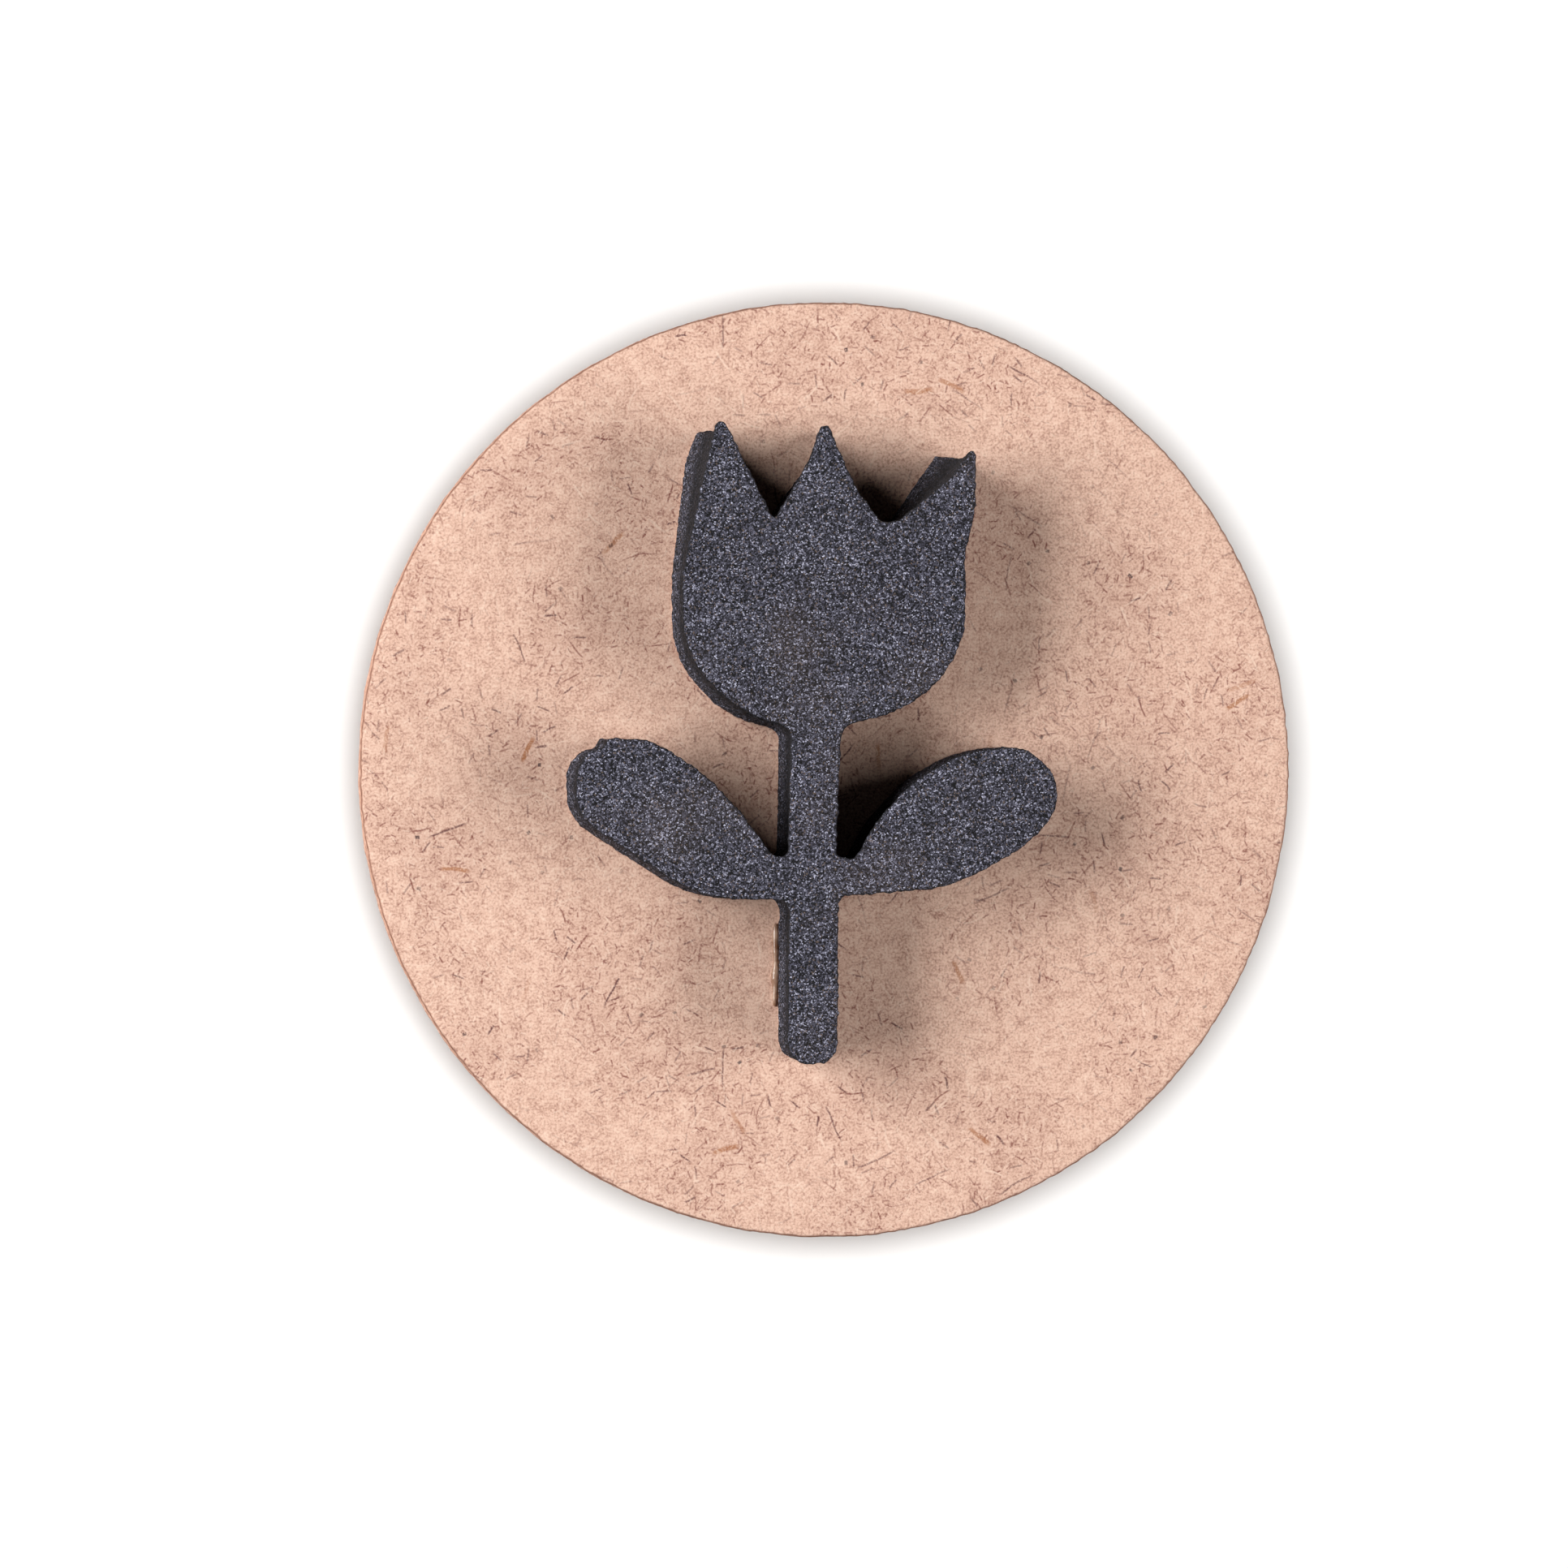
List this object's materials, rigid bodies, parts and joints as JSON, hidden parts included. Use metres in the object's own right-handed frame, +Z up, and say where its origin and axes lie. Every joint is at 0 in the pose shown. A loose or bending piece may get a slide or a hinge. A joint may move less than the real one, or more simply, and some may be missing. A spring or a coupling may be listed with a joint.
{
  "type": "foam stamp",
  "caption": "Hand stamp: a soft dark foam tulip glued to a round fibreboard disc, with a turned wooden knob on the back to press it down by.",
  "frame": {"origin": "middle of the flat end of the knob, on the axis of the board, with the stamp standing on that end", "axes": "+Z up out of the foam's printing face, +Y towards the tulip's petals, +X to the right of the tulip as it is seen on the foam"},
  "size_m": [0.075, 0.075, 0.0304],
  "materials": {
    "foam": "matt closed-cell EVA foam, dark bluish charcoal, fine open grain on the cut faces",
    "hot_melt": "clear amber hot-melt glue, glossy",
    "fibreboard": "bare medium-density fibreboard, matt, pinkish tan with brown fibres, darker on the cut edge",
    "beech": "bare turned beech, fine sanded, matt"
  },
  "bodies": {
    "root": {"foam_tulip": "foam", "foam_glue": "hot_melt", "mdf_disc": "fibreboard", "knob_glue": "hot_melt", "knob": "beech"}
  },
  "joints": []
}
